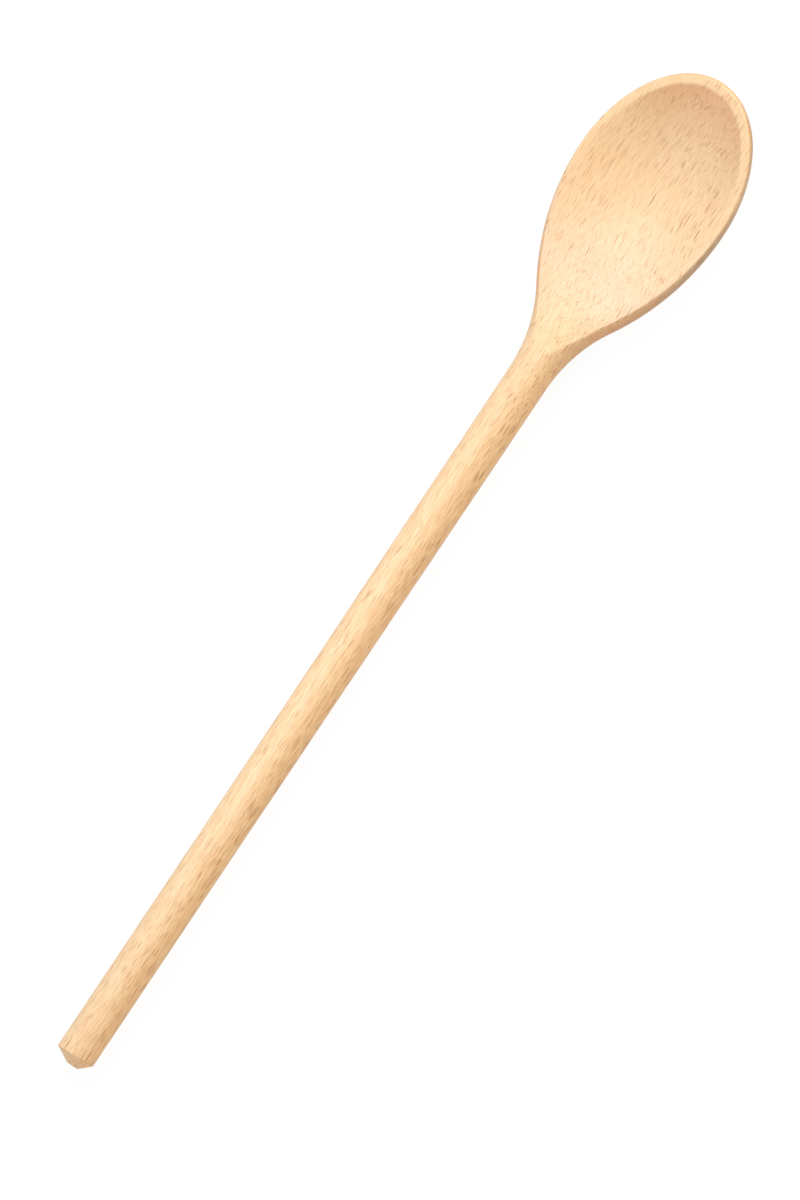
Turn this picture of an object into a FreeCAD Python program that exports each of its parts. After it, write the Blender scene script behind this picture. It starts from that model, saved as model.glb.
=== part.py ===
"""A one-piece beech spoon, lying along X with the bowl at +X and its hollow upward.

The origin is under the middle of the spoon, level with the lowest point of the bowl's back.
All lengths are in millimetres.
"""

import FreeCAD, Part
import math
import os

# Whole spoon, from the tail's end face to the bowl's tip
overall_length = 350.0

# Handle: a round bar, even along the grip and a little thicker at the neck
grip_diameter = 12.2
grip_length = 82.0
neck_diameter = 12.8

# Tail: a blunt cone whose small end face lies off the axis, to the spoon's right
tail_cone_length = 3.0
tail_end_diameter = 3.6
tail_end_offset = 0.8

# Bowl from above: a hollow curve out of the neck, a bulging flank and a half ellipse at the tip
bowl_width = 52.6
tip_length = 37.6
flank_radius = 79.0
neck_radius = 46.0
neck_lead = 12.0

# Bowl from the side, with heights taken from the handle's axis
belly_drop = 7.4
back_length = 50.0
girth_rise = 1.6
rim_rise = 3.3
runout_radius = 55.0

# Hollow: an egg-shaped scoop inside an even rim, with its sizes taken at the rim
rim_width = 3.9
hollow_depth = 7.0
hollow_tip_length = 27.0
hollow_setback = 4.0
scoop_lift = 20.0

# Softened edges round the rim, and how far the cutting bodies reach past the wood
edge_radius = 0.6
overrun = 10.0

# Sections of the bowl, as shares of the neck's lead, its curve, the flank and the tip's quarter turn
lead_shares = (0.0, 0.5)
neck_shares = (0.0, 0.3, 0.6, 0.85)
flank_shares = (0.0, 0.2, 0.4, 0.6, 0.8)
tip_turn_shares = (0.0, 0.2, 0.4, 0.58, 0.74, 0.87, 0.96)

# A face counts as level or square when this much of its axis points that way
facing_share = 0.9

# Places along the spoon
tip_x = overall_length / 2
tail_x = -overall_length / 2
grip_start_x = tail_x + tail_cone_length
grip_end_x = grip_start_x + grip_length
widest_x = tip_x - tip_length
belly_x = tip_x - back_length
hollow_widest_x = tip_x - rim_width - hollow_tip_length

# The neck's arc and the flank's arc touch at turn_x, on the line between their centres
grip_half = grip_diameter / 2
neck_half = neck_diameter / 2
bowl_half = bowl_width / 2
hollow_half = bowl_half - rim_width
centres_apart = neck_radius + flank_radius
centres_drop = centres_apart - (bowl_half - neck_half)
neck_run = math.sqrt(centres_apart**2 - centres_drop**2)
neck_x = widest_x - neck_run
turn_x = widest_x - neck_run * flank_radius / centres_apart
lead_x = neck_x - neck_lead

# The hollow begins a little past the run-out, on the rim's flat
hollow_neck_length = hollow_widest_x - turn_x - hollow_setback

# Heights
axis_z = belly_drop
rim_z = axis_z + rim_rise

along = FreeCAD.Vector(1, 0, 0)
across = FreeCAD.Vector(0, 1, 0)


def eased(share):
    """A smooth step from 0 to 1."""
    share = min(max(share, 0), 1)
    return share * share * (3 - 2 * share)


def handle_half(x):
    """Half of the handle's thickness between the grip and the neck."""
    return grip_half + (neck_half - grip_half) * (x - grip_end_x) / (neck_x - grip_end_x)


def half_width(x):
    """Half of the bowl's width, seen from above."""
    if x <= neck_x:
        return handle_half(x)
    if x <= turn_x:
        return neck_half + neck_radius - math.sqrt(neck_radius**2 - (x - neck_x) ** 2)
    if x <= widest_x:
        return bowl_half - flank_radius + math.sqrt(flank_radius**2 - (widest_x - x) ** 2)
    return bowl_half * math.sqrt(1 - ((x - widest_x) / tip_length) ** 2)


def girth_height(x):
    """Height of the bowl's widest line over the handle's axis."""
    return girth_rise * eased((x - neck_x) / (widest_x - neck_x))


def back_height(x):
    """Height of the bowl's back, along its middle, over the handle's axis."""
    if x <= neck_x:
        return -handle_half(x)
    if x <= belly_x:
        return -neck_half - (belly_drop - neck_half) * eased((x - neck_x) / (belly_x - neck_x))
    return girth_rise - (girth_rise + belly_drop) * math.sqrt(1 - ((x - belly_x) / back_length) ** 2)


def bowl_section(x):
    """An upright oval across the bowl, as it was before the rim and the hollow were cut."""
    girth = girth_height(x)
    tall = girth - back_height(x)
    edge = Part.Ellipse(FreeCAD.Vector(0, 0, 0), max(half_width(x), tall), tall).toShape()
    upright = FreeCAD.Rotation(across, FreeCAD.Vector(0, 0, 1), along, "XYZ")
    edge.Placement = FreeCAD.Placement(FreeCAD.Vector(x, 0, axis_z + girth), upright)
    return Part.Wire([edge])


def bowl_blank():
    """The bowl as a solid oval body, from the neck to the tip."""
    places = [lead_x + share * neck_lead for share in lead_shares]
    places += [neck_x + share * (turn_x - neck_x) for share in neck_shares]
    places += [turn_x + share * (widest_x - turn_x) for share in flank_shares]
    places += [widest_x + tip_length * math.sin(share * math.pi / 2) for share in tip_turn_shares]
    tip = Part.Vertex(FreeCAD.Vector(tip_x, 0, axis_z + girth_rise))
    return Part.makeLoft([bowl_section(x) for x in places] + [tip], True)


def ring(x, y, diameter):
    """A round wire across the handle."""
    return Part.Wire([Part.Circle(FreeCAD.Vector(x, y, axis_z), along, diameter / 2).toShape()])


def handle():
    """The tail's cone, the even grip and the slow taper up to the neck."""
    grip_start = FreeCAD.Vector(grip_start_x, 0, axis_z)
    grip_end = FreeCAD.Vector(grip_end_x, 0, axis_z)
    grip = Part.makeCylinder(grip_half, grip_length, grip_start, along)
    taper = Part.makeCone(grip_half, handle_half(lead_x), lead_x - grip_end_x, grip_end, along)
    tail_rings = [ring(tail_x, -tail_end_offset, tail_end_diameter), ring(grip_start_x, 0, grip_diameter)]
    return grip.fuse([taper, Part.makeLoft(tail_rings, True, True)])


def top_waste():
    """What lies over the rim's flat, and a drum that runs it out through the handle's top."""
    width = bowl_width + 2 * overrun
    length = tip_x + overrun - turn_x
    height = belly_drop + 2 * girth_rise + overrun
    slab = Part.makeBox(length, width, height, FreeCAD.Vector(turn_x, -width / 2, rim_z))
    drum_end = FreeCAD.Vector(turn_x, -width / 2, rim_z + runout_radius)
    return [slab, Part.makeCylinder(runout_radius, width, drum_end, across)]


def scoop():
    """Two half eggs, back to back, with their widest place over the rim."""
    depth = hollow_depth + scoop_lift
    rim_share = math.sqrt(1 - (scoop_lift / depth) ** 2)
    halves = []
    for length, way in ((hollow_tip_length, along), (hollow_neck_length, -along)):
        stretch = FreeCAD.Matrix()
        stretch.scale(length / rim_share, hollow_half / rim_share, depth)
        half_ball = Part.makeSphere(1, FreeCAD.Vector(0, 0, 0), way, 0, 90, 360)
        halves.append(half_ball.transformGeometry(stretch))
    egg = halves[0].fuse(halves[1])
    egg.translate(FreeCAD.Vector(hollow_widest_x, 0, rim_z + scoop_lift))
    return egg


def rim_edges(solid):
    """The edges round the rim's flat and its run-out, without the line where those two meet."""
    edges = []
    for face in solid.Faces:
        surface = face.Surface
        level = isinstance(surface, Part.Plane) and abs(surface.Axis.z) > facing_share
        runout = isinstance(surface, Part.Cylinder) and abs(surface.Axis.y) > facing_share
        if level or runout:
            edges += face.Edges
    return [edge for edge in edges if sum(edge.isSame(other) for other in edges) == 1]


def spoon():
    blank = handle().fuse(bowl_blank())
    carved = blank.cut(top_waste()).cut(scoop())
    return carved.makeFillet(edge_radius, rim_edges(carved)).Solids[0]


os.makedirs("parts", exist_ok=True)
spoon().exportStep("parts/spoon.step")
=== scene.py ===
"""A one-piece beech spoon, dressed for its photograph.

The wood is one closed skin: cross sections follow the handle and the flanks, and turn round the bowl's tip.
Lengths are in metres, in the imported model's frame: +X to the bowl's tip, +Y to the spoon's left and +Z up.
"""

import math

import bmesh
import bpy
from mathutils import Matrix, Vector


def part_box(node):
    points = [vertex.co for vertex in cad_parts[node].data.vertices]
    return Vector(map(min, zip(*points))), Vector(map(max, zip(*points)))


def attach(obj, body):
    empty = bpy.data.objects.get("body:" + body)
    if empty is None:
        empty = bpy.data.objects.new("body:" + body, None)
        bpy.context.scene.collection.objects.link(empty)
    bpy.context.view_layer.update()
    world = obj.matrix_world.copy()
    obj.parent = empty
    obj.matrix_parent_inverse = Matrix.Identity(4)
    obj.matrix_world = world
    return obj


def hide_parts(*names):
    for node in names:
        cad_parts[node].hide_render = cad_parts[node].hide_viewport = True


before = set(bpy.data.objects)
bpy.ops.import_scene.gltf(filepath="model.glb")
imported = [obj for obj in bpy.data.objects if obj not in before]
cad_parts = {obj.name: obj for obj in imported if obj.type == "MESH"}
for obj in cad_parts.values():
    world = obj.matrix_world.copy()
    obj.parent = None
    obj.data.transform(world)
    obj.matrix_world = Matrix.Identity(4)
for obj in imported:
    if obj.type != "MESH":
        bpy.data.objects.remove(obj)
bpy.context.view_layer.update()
node_low, node_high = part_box("spoon")

mm = 0.001
quarter_turn = math.pi / 2

# Sizes of the wood; the length and the bowl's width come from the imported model
spoon_sizes = {
    "tail_x": node_low.x,
    "tip_x": node_high.x,
    # Handle and tail
    "grip_half": 6.1 * mm,
    "grip_length": 82.0 * mm,
    "neck_half": 6.4 * mm,
    "tail_cone_length": 3.0 * mm,
    "tail_end_half": 1.8 * mm,
    "tail_end_offset": 0.8 * mm,
    "tail_lean": 0.27 * mm,
    "tail_lean_fading": 6.0 * mm,
    "tail_softness": 0.25 * mm,
    "ring_step": 0.3 * mm,
    # Bowl from above
    "bowl_half": (node_high.y - node_low.y) / 2,
    "tip_length": 37.6 * mm,
    "flank_radius": 79.0 * mm,
    "neck_radius": 46.0 * mm,
    "neck_lead": 14.0 * mm,
    # Bowl from the side, with heights taken from the handle's axis
    "belly_drop": 7.4 * mm,
    "back_length": 50.0 * mm,
    "girth_rise": 1.6 * mm,
    "rim_rise": 3.3 * mm,
    "flank_rim_lift": 0.9 * mm,
    "rim_level_lead": 5.0 * mm,
    "rim_level_run": 40.0 * mm,
    "runout_length": 20.0 * mm,
    "runout_slope": 0.19,
    # Hollow and rim
    "hollow_depth": 7.0 * mm,
    "hollow_lead": 2.0 * mm,
    "hollow_steepest": 0.54,
    "hollow_roundness": 2.1,
    "rim_width": 2.7 * mm,
    "rim_fading": 0.5 * mm,
    "rim_full_length": 46.0 * mm,
    "least_edge_share": 0.3,
    # Where the carved face begins at the neck, how soft its edges are, and the waves that sanding left
    "carving_lead": 4.0 * mm,
    "carving_reach": 6.0 * mm,
    "crease_softness": 0.32 * mm,
    "neck_softness": 0.6 * mm,
    "flank_edge_softness": 0.35,
    "tip_edge_softness": 0.05,
    "edge_sharpening": 24.0 * mm,
    "sanding_wave": 0.12 * mm,
}

# Mesh lines along the spoon, from the middle of the tail's end face to the tip
end_rows = 5
cone_rows = 12
ring_rows = 2
handle_rows = 58
neck_rows = 100
tip_rows = 104

# Mesh lines round one half of a section, from the middle of the back up to the middle of the top
back_columns = 60
wall_columns = 10
crease_columns = 10
rim_columns = 6
edge_columns = 16
hollow_columns = 38

# How near lines crowd to an edge, in radians, how near points are welded, and the least divisor
crowding_turn = 0.06
weld_distance = 0.001 * mm
least_divisor = 1e-9

# Layout of the map for baking: where the handle and the bowl are cut, and each piece's middle line
map_width = 172.0 * mm
map_margin = 4.0 * mm
map_steepness = 0.6
map_bowl_start = 70.0 * mm
map_handle_cut = -52.0 * mm
map_top_middle = 26.0 * mm
map_back_middle = 88.0 * mm
map_upper_middle = 140.0 * mm
map_lower_middle = 146.0 * mm

# Waves to the metre along X, Y and Z: of the sanding, of the fibres' sway and of their uneven ends
sanding_waves = (30.0, 90.0, 90.0)
sway_waves = (12.0, 40.0, 40.0)
uneven_waves = (50.0, 600.0, 600.0)
sway_reach = 4.0 * mm
uneven_reach = 6.0 * mm

# Finer layers in each kind of noise
plain_detail = 0.0
slow_detail = 1.0
streak_detail = 2.0

# The wood's rays lean to the spoon's right by this much
ray_tilt = math.radians(35.0)

# Grain of the beech: length along the fibres, width across the rays, depth along them, and a shift
ring_grain = (150.0 * mm, 14.0 * mm, 1.8 * mm, 3.1)
flame_grain = (16.0 * mm, 0.8 * mm, 0.9 * mm, 7.7)
fibre_grain = (6.0 * mm, 0.3 * mm, 0.45 * mm, 11.7)
patch_grain = (30.0 * mm, 8.0 * mm, 8.0 * mm, 1.9)
fine_ray_grain = (4.2 * mm, 0.25 * mm, 0.45 * mm, 5.3)
ray_grain = (5.2 * mm, 0.3 * mm, 0.55 * mm, 8.9)
long_ray_grain = (8.0 * mm, 0.36 * mm, 0.6 * mm, 2.3)

# How much each grain counts in the wood's tone, and how far the tone swings on the handle and in the bowl
ring_weight = 0.12
flame_weight = 0.13
fibre_weight = 0.75
handle_contrast = 1.8
bowl_contrast = 1.0
tone_reach = 0.22

# Ray marks: the share of cells that hold one, on the right side, by patches, and for long and fine rays
ray_share = 0.30
right_ray_share = 0.55
patch_ray_share = 0.45
long_ray_share = 0.4
fine_ray_share = 0.5

# How dark they are, and how much flatter the wood counts in the bowl, where they reach deeper
fine_ray_weight = 0.4
ray_weight = 0.75
long_ray_weight = 0.9
mark_strength = 0.81
right_mark_strength = 1.2825
darkest_mark = 0.9
bowl_flat_share = 0.3

# A dash in its cell: where it ends, where it is full, how sharply chance picks it, and the faintest one
dash_end = 0.38
dash_full = 0.28
dash_chance_edge = 0.02
faintest_dash = 0.35

# Colours of the wood and of its ray marks
dark_wood = (0.84, 0.51, 0.25, 1.0)
pale_wood = (0.93, 0.66, 0.375, 1.0)
ray_colour = (0.41, 0.14, 0.035, 1.0)

# Tints that multiply the wood's colour on each side of it, in turn: painted sheen, painted shade, and end
# grain that is partly painted shade
sheen_and_shade_tints = {
    # Painted sheen: faces looking left and up are made paler and whiter
    "left": (0.97, 1.02, 1.10, 1.0),
    # Painted shade: faces looking right, away from the lamps, are darker and more orange, mostly on the
    # handle
    "right": (1.0, 0.90, 0.75, 1.0),
    # Painted shade: the bowl's right wall and the flanks below it that look right are darker
    "wall": (0.66, 0.66, 0.70, 1.0),
    # Partly end grain, partly painted shade and painted bounce light: faces looking to the tail, most in the
    # hollow's far wall, are darker and redder
    "end_grain_and_shade": (0.96, 0.68, 0.50, 1.0),
    # Painted sheen: faces looking up on the bowl near the neck are paler and whiter
    "painted_face_sheen": (0.94, 0.98, 1.14, 1.0),
    # Partly end grain, partly painted shade: faces looking to the tip are darker, taming the lamp beyond the
    # tip
    "tip": (0.70, 0.62, 0.54, 1.0),
}

# How far a face looks along a direction where a painted sheen or shade tint sets in, and where it is full
left_sheen_facing = (0.3, 0.95)
right_shade_facing = (0.35, -0.35)
wall_shade_facing = (0.0, -0.5)
wall_shade_facing_up = (-0.8, -0.5)
end_grain_and_shade_facing = (0.1, 0.55)
face_sheen_facing_up = (0.8, 0.95)
tip_grain_and_shade_facing = (0.2, 0.6)

# Where along the spoon a painted sheen or shade tint, or the bowl's grain, sets in, and where it is full
right_shade_fading = (75.0 * mm, 95.0 * mm)
right_shade_faded_share = 0.8
wall_shade_stretch = (75.0 * mm, 125.0 * mm)
end_grain_and_shade_stretch = (0.0, 140.0 * mm)
face_sheen_start = (84.0 * mm, 104.0 * mm)
face_sheen_end = (140.0 * mm, 112.0 * mm)
bowl_stretch = (60.0 * mm, 100.0 * mm)

# The beech's surface
beech_roughness = 0.38
fibre_roughness = 0.1
fibre_relief = 0.25
relief_strength = 0.12
relief_depth = 0.06 * mm
oil_sheen = 0.8

# The floor's paper
floor_half = 6.0
dark_paper = (0.06, 0.06, 0.06, 1.0)
pale_paper = (0.07, 0.07, 0.07, 1.0)
paper_mottle = 6.0
paper_roughness = 0.9
paper_sheen = 0.1
paper_glow = 0.94

# Soft boxes: place, aim, width, height and power in watts
soft_boxes = {
    "tip_softbox": ((1.19, 0.0, 0.35), (0.04, 0.0, 0.0), 0.8, 0.35, 14.3),
    "face_softbox": ((0.606, 0.475, 0.946), (0.04, 0.0, 0.0), 0.4, 0.4, 1.5),
    "handle_softbox": ((-0.04, 0.11, 0.23), (-0.05, 0.0, 0.0), 0.3, 0.2, 0.33),
    "right_softbox": ((-0.05, -0.2, 0.2), (-0.06, 0.0, 0.0), 0.4, 0.12, 0.09),
    "tail_softbox": ((-0.37, 0.0, 0.10), (-0.17, 0.0, 0.0), 0.1, 0.1, 0.05),
}
room_brightness = 0.50
white = (1.0, 1.0, 1.0, 1.0)

# The photograph's view: how the spoon leans in it, and how far the camera stands to the side and away
spoon_lean = math.radians(56.27)
camera_side_slope = 0.3
camera_distance = 6.0
picture_height = 356.4 * mm
picture_middle = Vector((-5.9, -4.8, 6.0)) * mm
sensor_width = 36.0


class Field:
    """A number at every point of a node tree: sums and products of fields add Math nodes to the tree."""

    def __init__(self, socket):
        self.socket = socket

    def __add__(self, other):
        return worked("ADD", self, other)

    def __radd__(self, other):
        return worked("ADD", other, self)

    def __sub__(self, other):
        return worked("SUBTRACT", self, other)

    def __rsub__(self, other):
        return worked("SUBTRACT", other, self)

    def __mul__(self, other):
        return worked("MULTIPLY", self, other)

    def __rmul__(self, other):
        return worked("MULTIPLY", other, self)

    def __truediv__(self, other):
        return worked("DIVIDE", self, other)


def feed(tree, port, value):
    """Links a field into an input, or sets the input to a plain value."""
    if isinstance(value, Field):
        tree.links.new(value.socket, port)
    else:
        port.default_value = value


def add_node(tree, kind, inputs=None, **settings):
    """A node with its settings, and its inputs by name or number."""
    node = tree.nodes.new(kind)
    for name, value in settings.items():
        setattr(node, name, value)
    for port, value in (inputs or {}).items():
        feed(tree, node.inputs[port], value)
    return node


def out(node, port=0):
    return Field(node.outputs[port])


def worked(operation, *values, clamped=False):
    """One Math node on fields and plain numbers."""
    tree = next(value.socket.id_data for value in values if isinstance(value, Field))
    node = add_node(tree, "ShaderNodeMath", dict(enumerate(values)), operation=operation, use_clamp=clamped)
    return out(node)


def root(value):
    return worked("SQRT", value)


def squared(value):
    return value * value


def least(one, other):
    return worked("MINIMUM", one, other)


def most(one, other):
    return worked("MAXIMUM", one, other)


def soft_least(one, other, softness):
    return worked("SMOOTH_MIN", one, other, softness)


def soft_most(one, other, softness):
    return worked("SMOOTH_MAX", one, other, softness)


def share(value, start, end):
    """How far a value has come from start to end, held between 0 and 1."""
    return worked("DIVIDE", value - start, end - start, clamped=True)


def eased(value):
    """A smooth step from 0 to 1."""
    return value * value * (3.0 - 2.0 * value)


def blend(one, other, part):
    return one + (other - one) * part


def chosen(test, if_true, if_false):
    """One of two fields, by a test that is 0 or 1."""
    return if_false + (if_true - if_false) * test


def below(value, limit):
    return worked("LESS_THAN", value, limit)


def centred(value):
    """A value from 0 to 1, moved so that its middle is zero."""
    return value - 0.5


def counted_shares(value, counts):
    """The share done of each stretch, where a count of lines runs through the stretches in turn."""
    shares = []
    start = 0
    for count in counts:
        shares.append(share(value, start, start + count))
        start += count
    return shares


def stretched_noise(tree, place, waves, detail):
    """Noise with so many waves to the metre along X, Y and Z."""
    stretched = add_node(tree, "ShaderNodeVectorMath", {0: place, 1: waves}, operation="MULTIPLY")
    return add_node(tree, "ShaderNodeTexNoise", {"Vector": out(stretched), "Scale": 1.0, "Detail": detail})


def stations(size):
    """Places along the spoon where one stretch gives way to the next."""
    at = {"grip_start": size["tail_x"] + size["tail_cone_length"]}
    at["grip_end"] = at["grip_start"] + size["grip_length"]
    at["widest"] = size["tip_x"] - size["tip_length"]
    at["belly"] = size["tip_x"] - size["back_length"]
    centres_apart = size["neck_radius"] + size["flank_radius"]
    centres_drop = centres_apart - (size["bowl_half"] - size["neck_half"])
    neck_run = root(squared(centres_apart) - squared(centres_drop))
    at["neck"] = at["widest"] - neck_run
    at["turn"] = at["widest"] - neck_run * size["flank_radius"] / centres_apart
    at["lead"] = at["neck"] - size["neck_lead"]
    return at


def spine(size, at, row, row_counts):
    """Each row's place on the axis, its turn round the tip and its share of the handle's thickness."""
    end_part, cone_part, ring_part, handle_part, neck_part, tip_part = counted_shares(row, row_counts)
    cone_spread = size["grip_half"] - size["tail_end_half"]
    tail_half = size["tail_end_half"] * end_part + cone_spread * cone_part
    cone_slope = size["tail_cone_length"] / cone_spread
    cone_run = soft_most((tail_half - size["tail_end_half"]) * cone_slope, 0.0, size["tail_softness"])
    x = size["tail_x"] + cone_run + size["ring_step"] * ring_part
    x = x + (at["lead"] - at["grip_start"] - size["ring_step"]) * handle_part
    x = x + (at["widest"] - at["lead"]) * neck_part
    return x, tip_part * quarter_turn, tail_half / size["grip_half"]


def handle_half(size, at, x):
    """Half of the handle's thickness, even along the grip and growing up to the neck."""
    return blend(size["grip_half"], size["neck_half"], share(x, at["grip_end"], at["neck"]))


def outline_half(size, at, x):
    """Half of the width from above: the handle, the neck's hollow curve and the bulging flank."""
    past_neck = most(x - at["neck"], 0.0)
    neck_rise = size["neck_radius"] - root(squared(size["neck_radius"]) - squared(past_neck))
    neck_curve = handle_half(size, at, x) + neck_rise
    flank_circle = root(squared(size["flank_radius"]) - squared(at["widest"] - x))
    flank_curve = size["bowl_half"] - size["flank_radius"] + flank_circle
    return chosen(below(x, at["turn"]), neck_curve, flank_curve)


def back_height(size, at, x):
    """Height of the back along its middle, over the handle's axis."""
    drop = (size["belly_drop"] - size["neck_half"]) * eased(share(x, at["neck"], at["belly"]))
    past_belly = most(x - at["belly"], 0.0) / size["back_length"]
    rise = (size["girth_rise"] + size["belly_drop"]) * root(1.0 - squared(past_belly))
    return chosen(below(x, at["belly"]), 0.0 - handle_half(size, at, x) - drop, size["girth_rise"] - rise)


def rim_height(size, at, x, outline_x):
    """Height of the rim over the handle's axis: level round the tip, and running out over the neck."""
    ramp = (at["neck"] + size["runout_length"] - x) * size["runout_slope"]
    level_start = at["belly"] - size["rim_level_lead"]
    level = eased(share(outline_x, level_start, level_start + size["rim_level_run"]))
    lift = size["flank_rim_lift"] * (1.0 - level)
    return size["rim_rise"] + lift + soft_most(ramp, 0.0, size["neck_softness"])


def middle_height(size, at, x):
    """Height of the face's middle line over the handle's axis, from the neck down into the hollow."""
    dip_start = at["neck"] + size["hollow_lead"]
    dip = share(x, dip_start, at["widest"])
    steepest = size["hollow_steepest"]
    dip_in = squared(dip) / steepest
    dip_out = 1.0 - squared(1.0 - dip) / (1.0 - steepest)
    fall = chosen(below(dip, steepest), dip_in, dip_out)
    hollow_floor = size["rim_rise"] - size["hollow_depth"]
    lead_rise = most(dip_start - x, 0.0) * size["runout_slope"]
    return size["neck_half"] + lead_rise - (size["neck_half"] - hollow_floor) * fall


def crowded_turn(column, top_counts, crease_turn, edge_turn):
    """The turn up a half section, from side to top, with lines crowded at the crease and the edge."""
    wall_done, crease_done, rim_done, edge_done, hollow_done = counted_shares(column, top_counts)
    crowd = least(crowding_turn, most(edge_turn - crease_turn, 0.0) / 2.0)
    turn = (crease_turn - crowd) * wall_done + 2.0 * crowd * crease_done
    turn = turn + (edge_turn - crease_turn - 2.0 * crowd) * rim_done + 2.0 * crowd * edge_done
    return turn + (quarter_turn - edge_turn - crowd) * hollow_done


def half_skin(tree, size):
    """The skin's left half: a flat grid of rows along the spoon and columns round it, bent into shape."""
    row_counts = (end_rows, cone_rows, ring_rows, handle_rows, neck_rows, tip_rows)
    top_counts = (wall_columns, crease_columns, rim_columns, edge_columns, hollow_columns)
    rows = sum(row_counts)
    columns = back_columns + sum(top_counts)
    grid = add_node(tree, "GeometryNodeMeshGrid", {"Vertices X": rows + 1, "Vertices Y": columns + 1})
    place = add_node(tree, "ShaderNodeSeparateXYZ", {0: out(add_node(tree, "GeometryNodeInputPosition"))})
    row = (out(place, "X") + 0.5) * rows
    column = (out(place, "Y") + 0.5) * columns

    # Each row has a section: square to the handle up to the widest place, then turning round the tip
    at = stations(size)
    spine_x, tip_turn, tail_scale = spine(size, at, row, row_counts)
    forward = worked("SINE", tip_turn)
    sideways = worked("COSINE", tip_turn)
    half_width = outline_half(size, at, spine_x) * tail_scale
    reach = root(squared(size["tip_length"] * forward) + squared(half_width * sideways))
    outline_x = spine_x + size["tip_length"] * forward

    # Round the section: the crease over the wall, and the hollow's edge inside the rim
    rim = rim_height(size, at, spine_x, outline_x)
    girth = size["girth_rise"] * eased(share(spine_x, at["neck"], at["widest"]))
    crease_rise = worked("DIVIDE", rim - girth, girth - back_height(size, at, spine_x), clamped=True)
    crease_part = root(1.0 - squared(crease_rise))
    half_run = size["rim_full_length"] / 2.0
    rim_share = eased(share(outline_x, at["widest"] - half_run, at["widest"] + half_run))
    rim_width = blend(size["rim_fading"], size["rim_width"], rim_share)
    edge_part = most(crease_part - rim_width / reach, size["least_edge_share"])

    # Columns crowd at the crease and at the hollow's edge in the bowl, and are even on the handle
    crease_turn = worked("ARCCOSINE", crease_part)
    edge_turn = worked("ARCCOSINE", edge_part)
    crowded = crowded_turn(column - back_columns, top_counts, crease_turn, edge_turn)
    even = share(column, back_columns, columns) * quarter_turn
    in_bowl = eased(share(spine_x, at["neck"] + size["carving_lead"], at["turn"] + size["carving_reach"]))
    turn = blend(even, crowded, in_bowl) + (share(column, 0, back_columns) - 1.0) * quarter_turn
    part = worked("COSINE", turn)

    # The blank's oval, and what the carving leaves of it
    point_x = spine_x + size["tip_length"] * forward * part
    oval = worked("SINE", turn) / root(most(1.0 - squared(part * forward), least_divisor))
    blank_height = girth + (girth - back_height(size, at, point_x)) * oval * tail_scale
    bowl_curve = 1.0 - worked("POWER", part / edge_part, size["hollow_roundness"])
    sharpened = eased(share(outline_x, at["widest"], at["widest"] + size["edge_sharpening"]))
    edge_softness = blend(size["flank_edge_softness"], size["tip_edge_softness"], sharpened)
    dish = soft_most(bowl_curve, 0.0, edge_softness)
    face_height = rim - (rim - middle_height(size, at, spine_x)) * dish
    softness = blend(size["neck_softness"], size["crease_softness"], in_bowl)
    height = size["belly_drop"] + soft_least(blank_height, face_height, softness)
    spot = add_node(tree, "ShaderNodeCombineXYZ", {0: point_x, 1: half_width * sideways * part, 2: height})
    return add_node(tree, "GeometryNodeSetPosition", {"Geometry": out(grid), "Position": out(spot)})


def whole_skin(tree, half):
    """Both halves as one closed skin, the right one mirrored from the left, with their faces outward."""
    turned = add_node(tree, "GeometryNodeFlipFaces", {0: out(half)})
    mirrored = add_node(tree, "GeometryNodeTransform", {"Geometry": out(half), "Scale": (1, -1, 1)})
    both = tree.nodes.new("GeometryNodeJoinGeometry")
    for side in (turned, mirrored):
        tree.links.new(side.outputs[0], both.inputs[0])
    return add_node(tree, "GeometryNodeMergeByDistance", {"Geometry": out(both), "Distance": weld_distance})


def sanded_skin(tree, size, skin):
    """The skin with the tail's end face off the axis, and with the slow waves that sanding left."""
    position = out(add_node(tree, "GeometryNodeInputPosition"))
    place = add_node(tree, "ShaderNodeSeparateXYZ", {0: position})
    x = out(place, "X")
    grip_start = size["tail_x"] + size["tail_cone_length"]
    off_axis = share(x, grip_start, size["tail_x"]) * size["tail_end_offset"]
    lean = share(x, size["tail_x"], grip_start)
    lean = lean - share(x, grip_start, grip_start + size["tail_lean_fading"])
    lean = lean * size["tail_lean"] * (0.0 - out(place, "Y")) / size["grip_half"]
    aside = add_node(tree, "ShaderNodeCombineXYZ", {0: lean, 1: 0.0 - off_axis})
    cut = add_node(tree, "GeometryNodeSetPosition", {"Geometry": out(skin), "Offset": out(aside)})
    swell = centred(out(stretched_noise(tree, position, sanding_waves, slow_detail))) * size["sanding_wave"]
    normal = out(add_node(tree, "GeometryNodeInputNormal"))
    push = add_node(tree, "ShaderNodeVectorMath", {0: normal, "Scale": swell}, operation="SCALE")
    return add_node(tree, "GeometryNodeSetPosition", {"Geometry": out(cut), "Offset": out(push)})


def skin_tree(finish):
    """The tree that carves the spoon, with an input for each of its sizes."""
    tree = bpy.data.node_groups.new("Carved spoon", "GeometryNodeTree")
    for name in spoon_sizes:
        tree.interface.new_socket(name, in_out="INPUT", socket_type="NodeSocketFloat")
    tree.interface.new_socket("Skin", in_out="OUTPUT", socket_type="NodeSocketGeometry")
    entry = tree.nodes.new("NodeGroupInput")
    size = {name: out(entry, name) for name in spoon_sizes}
    sanded = sanded_skin(tree, size, whole_skin(tree, half_skin(tree, size)))
    smooth = add_node(tree, "GeometryNodeSetShadeSmooth", {"Geometry": out(sanded)})
    real = add_node(tree, "GeometryNodeRealizeInstances", {0: out(smooth)})
    finished = add_node(tree, "GeometryNodeSetMaterial", {"Geometry": out(real), "Material": finish})
    leave = tree.nodes.new("NodeGroupOutput")
    tree.links.new(finished.outputs[0], leave.inputs[0])
    return tree


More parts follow.
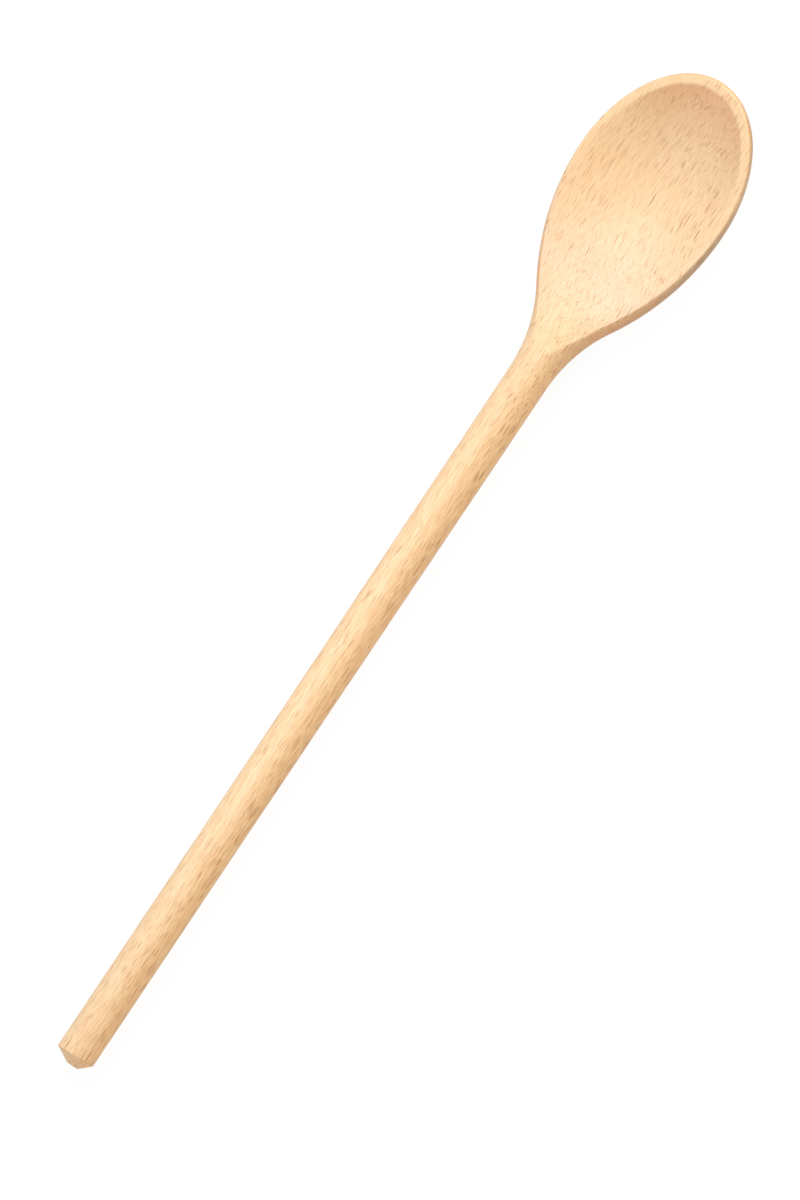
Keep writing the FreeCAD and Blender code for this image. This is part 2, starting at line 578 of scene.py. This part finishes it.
def face_outward(mesh):
    """Turns every face outward, since one half of the skin was mirrored."""
    skin = bmesh.new()
    skin.from_mesh(mesh)
    bmesh.ops.recalc_face_normals(skin, faces=skin.faces)
    skin.to_mesh(mesh)
    skin.free()


def bowl_spot(face, point):
    """Where a point of the bowl lies on the map, spread out where the skin is steep."""
    x, y, z = point.co
    above = face.normal.z > 0.0
    rim_z = spoon_sizes["belly_drop"] + spoon_sizes["rim_rise"]
    steep = map_steepness * (rim_z - z if above else z)
    aside = y + steep * point.normal.y
    across = map_top_middle + aside if above else map_back_middle - aside
    return x - map_bowl_start + steep * point.normal.x, across


def handle_spot(face, point):
    """Where a point of the handle lies on the map, unrolled from the axis."""
    x, y, z = point.co
    axis_z = spoon_sizes["belly_drop"]
    grip_half = spoon_sizes["grip_half"]
    around = grip_half * math.atan2(math.copysign(y, face.center.y), z - axis_z)
    along = x + min(math.hypot(y, z - axis_z) - grip_half, 0.0)
    if face.center.x > map_handle_cut:
        return map_upper_middle - around, along - map_handle_cut
    return along - spoon_sizes["tail_x"] + grip_half, map_lower_middle + around


def unfold(mesh):
    """The map for baking: the bowl from above, the bowl from below and the handle in two lengths."""
    skin_map = mesh.uv_layers.new(name="OFBake")
    for face in mesh.polygons:
        find_spot = bowl_spot if face.center.x > map_bowl_start else handle_spot
        for corner in face.loop_indices:
            spot = find_spot(face, mesh.vertices[mesh.loops[corner].vertex_index])
            skin_map.uv[corner].vector = [(length + map_margin) / map_width for length in spot]


def carved_spoon(finish):
    """The spoon as a plain mesh, made by its tree."""
    holder = bpy.data.objects.new("spoon_blank", bpy.data.meshes.new("spoon_blank"))
    bpy.context.scene.collection.objects.link(holder)
    carving = holder.modifiers.new("Carving", "NODES")
    carving.node_group = skin_tree(finish)
    for socket in carving.node_group.interface.items_tree:
        if socket.name in spoon_sizes:
            carving[socket.identifier] = spoon_sizes[socket.name]
    carved = holder.evaluated_get(bpy.context.evaluated_depsgraph_get())
    mesh = bpy.data.meshes.new_from_object(carved)
    mesh.name = "beech_spoon"
    mesh.materials.clear()
    mesh.materials.append(finish)
    bpy.data.objects.remove(holder)
    face_outward(mesh)
    unfold(mesh)
    spoon = bpy.data.objects.new("beech_spoon", mesh)
    bpy.context.scene.collection.objects.link(spoon)
    return spoon


def grain_place(tree):
    """The place in the wood: along the fibres, across the rays and out along them."""
    place = out(add_node(tree, "ShaderNodeTexCoord"), "Object")
    apart = add_node(tree, "ShaderNodeSeparateXYZ", {0: place})
    sway = stretched_noise(tree, place, sway_waves, slow_detail)
    lean = add_node(tree, "ShaderNodeSeparateColor", {0: out(sway, "Color")})
    uneven = stretched_noise(tree, place, uneven_waves, plain_detail)
    along = out(apart, "X") + centred(out(uneven)) * uneven_reach
    y = out(apart, "Y") + centred(out(lean, "Green")) * sway_reach
    z = out(apart, "Z") + centred(out(lean, "Blue")) * sway_reach
    across = y * math.cos(ray_tilt) + z * math.sin(ray_tilt)
    outward = z * math.cos(ray_tilt) - y * math.sin(ray_tilt)
    return along, across, outward


def grain_vector(tree, place, grain):
    """The place in the wood, counted in a grain's lengths, widths and depths."""
    along, across, outward = place
    length, width, depth, shift = grain
    counts = {0: along / length + shift, 1: across / width + shift, 2: outward / depth}
    return out(add_node(tree, "ShaderNodeCombineXYZ", counts))


def streaks(tree, place, grain, detail=streak_detail):
    """Soft streaks along the fibres, from 0 to 1."""
    noise = {"Vector": grain_vector(tree, place, grain), "Scale": 1.0, "Detail": detail}
    return out(add_node(tree, "ShaderNodeTexNoise", noise))


def dashes(tree, place, grain, kept):
    """Thin dashes along the fibres, from 0 to 1, one to a cell at most, in this share of the cells."""
    vector = grain_vector(tree, place, grain)
    cells = add_node(tree, "ShaderNodeTexVoronoi", {"Vector": vector, "Scale": 1.0})
    chance = add_node(tree, "ShaderNodeSeparateColor", {0: out(cells, "Color")})
    strength = blend(faintest_dash, 1.0, out(chance, "Green"))
    picked = share(kept - out(chance, "Red"), 0.0, dash_chance_edge)
    return share(out(cells), dash_end, dash_full) * picked * strength


def tinted(tree, part, one, other, manner="MIX"):
    """A colour mixed from two others, each a colour or a mix made before."""
    colours = {"Factor": part, 6: one, 7: other}
    mix = add_node(tree, "ShaderNodeMix", colours, data_type="RGBA", blend_type=manner)
    return out(mix, 2)


def sheen_and_shade_sides(tree, along):
    """How far a point gets each tint of painted sheen and shade, by the way its face looks, from 0 to 1."""
    normal = out(add_node(tree, "ShaderNodeNewGeometry"), "Normal")
    facing = add_node(tree, "ShaderNodeSeparateXYZ", {0: normal})
    forward, left, up = (out(facing, axis) for axis in "XYZ")
    ray_facing = left * math.cos(ray_tilt) + up * math.sin(ray_tilt)
    right_shade_kept = 1.0 - right_shade_faded_share * share(along, *right_shade_fading)
    return {
        "left": share(ray_facing, *left_sheen_facing),
        "right": share(ray_facing, *right_shade_facing) * right_shade_kept,
        "wall": share(ray_facing, *wall_shade_facing) * share(along, *wall_shade_stretch) * share(up, *wall_shade_facing_up),
        "end_grain_and_shade": eased(share(0.0 - forward, *end_grain_and_shade_facing)) * share(along, *end_grain_and_shade_stretch),
        "painted_face_sheen": share(along, *face_sheen_start) * share(along, *face_sheen_end) * share(up, *face_sheen_facing_up),
        "tip": share(forward, *tip_grain_and_shade_facing),
    }


def ray_marks(tree, place, right_shade_mask, in_bowl):
    """Dark marks where rays are cut through: many fine ones, and fewer that are long and dark."""
    along, across, outward = place
    ray_place = along, across, outward * blend(1.0, bowl_flat_share, in_bowl)
    patches = streaks(tree, place, patch_grain)
    # Marks are also more and darker where the right side's painted shade sets in
    kept = blend(ray_share, right_ray_share, right_shade_mask) + centred(patches) * patch_ray_share
    fine_rays = dashes(tree, ray_place, fine_ray_grain, fine_ray_share)
    rays = dashes(tree, ray_place, ray_grain, kept)
    long_rays = dashes(tree, ray_place, long_ray_grain, kept * long_ray_share)
    marks = fine_rays * fine_ray_weight + rays * ray_weight + long_rays * long_ray_weight
    return least(marks * blend(mark_strength, right_mark_strength, right_shade_mask), darkest_mark)


def beech():
    """Pale beech, sanded smooth and lightly oiled, with sheen and shade painted into its colour by the way
    each face looks.
    """
    finish = bpy.data.materials.new("sanded_beech")
    finish.use_nodes = True
    tree = finish.node_tree
    shader = tree.nodes["Principled BSDF"]
    place = grain_place(tree)
    sides = sheen_and_shade_sides(tree, place[0])
    in_bowl = share(place[0], *bowl_stretch)

    # Tone of the wood, and its tints of painted sheen and shade
    rings = streaks(tree, place, ring_grain)
    flames = streaks(tree, place, flame_grain)
    fibres = streaks(tree, place, fibre_grain, slow_detail)
    grain = centred(rings * ring_weight + flames * flame_weight + fibres * fibre_weight)
    tone = share(grain * blend(handle_contrast, bowl_contrast, in_bowl), -tone_reach, tone_reach)
    wood = tinted(tree, tone, dark_wood, pale_wood)
    for side, tint in sheen_and_shade_tints.items():
        wood = tinted(tree, sides[side], wood, tint, "MULTIPLY")

    # Ray marks lie over it, a little sunk in
    marks = ray_marks(tree, place, sides["right"], in_bowl)
    feed(tree, shader.inputs["Base Color"], tinted(tree, marks, wood, ray_colour))
    feed(tree, shader.inputs["Roughness"], beech_roughness + fibres * fibre_roughness)
    relief = {"Height": fibres * fibre_relief - marks, "Strength": relief_strength, "Distance": relief_depth}
    feed(tree, shader.inputs["Normal"], out(add_node(tree, "ShaderNodeBump", relief)))
    shader.inputs["Specular IOR Level"].default_value = oil_sheen
    return finish


def paper():
    """White paper for the floor, with hardly any mottle, that gives off light."""
    finish = bpy.data.materials.new("studio_paper")
    finish.use_nodes = True
    tree = finish.node_tree
    shader = tree.nodes["Principled BSDF"]
    place = out(add_node(tree, "ShaderNodeTexCoord"), "Object")
    mottle = {"Vector": place, "Scale": paper_mottle, "Detail": streak_detail}
    mottled = out(add_node(tree, "ShaderNodeTexNoise", mottle))
    feed(tree, shader.inputs["Base Color"], tinted(tree, mottled, dark_paper, pale_paper))
    shader.inputs["Roughness"].default_value = paper_roughness
    shader.inputs["Specular IOR Level"].default_value = paper_sheen
    shader.inputs["Emission Color"].default_value = white
    shader.inputs["Emission Strength"].default_value = paper_glow
    return finish


def lay_floor():
    """A wide plain floor under the spoon."""
    corners = [(-1, -1), (1, -1), (1, 1), (-1, 1)]
    mesh = bpy.data.meshes.new("floor")
    mesh.from_pydata([(x * floor_half, y * floor_half, 0) for x, y in corners], [], [(0, 1, 2, 3)])
    mesh.materials.append(paper())
    floor = bpy.data.objects.new("floor", mesh)
    bpy.context.scene.collection.objects.link(floor)
    floor.visible_glossy = False


def hang_light(name, place, aim, width, height, power):
    """A soft box that points at a place and isn't seen itself."""
    data = bpy.data.lights.new(name, "AREA")
    data.shape = "RECTANGLE"
    data.size = width
    data.size_y = height
    data.energy = power
    light = bpy.data.objects.new(name, data)
    light.location = place
    light.rotation_euler = (Vector(aim) - Vector(place)).to_track_quat("-Z", "Y").to_euler()
    light.visible_camera = False
    bpy.context.scene.collection.objects.link(light)


def light_studio():
    """Soft boxes beyond the tip, high on the left, by both sides of the handle and behind the tail."""
    for name, box in soft_boxes.items():
        hang_light(name, *box)
    # An even white room lights the rest
    world = bpy.data.worlds.new("white_room")
    world.use_nodes = True
    background = world.node_tree.nodes["Background"]
    background.inputs["Color"].default_value = white
    background.inputs["Strength"].default_value = room_brightness
    bpy.context.scene.world = world
    bpy.context.scene.view_settings.view_transform = "Standard"


def set_camera():
    """The photograph's view: from above, a little from the spoon's right, with the spoon leaning over."""
    data = bpy.data.cameras.new("photo_camera")
    data.sensor_width = sensor_width
    data.lens = sensor_width * camera_distance / picture_height
    camera = bpy.data.objects.new("photo_camera", data)
    swung = Matrix.Rotation(math.atan(camera_side_slope), 4, "X") @ Matrix.Rotation(-spoon_lean, 4, "Z")
    stand_back = Matrix.Translation((0, 0, camera_distance))
    camera.matrix_world = Matrix.Translation(picture_middle) @ swung @ stand_back
    bpy.context.scene.collection.objects.link(camera)
    bpy.context.scene.camera = camera


spoon = carved_spoon(beech())
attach(spoon, "root")
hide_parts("spoon")
lay_floor()
light_studio()
set_camera()
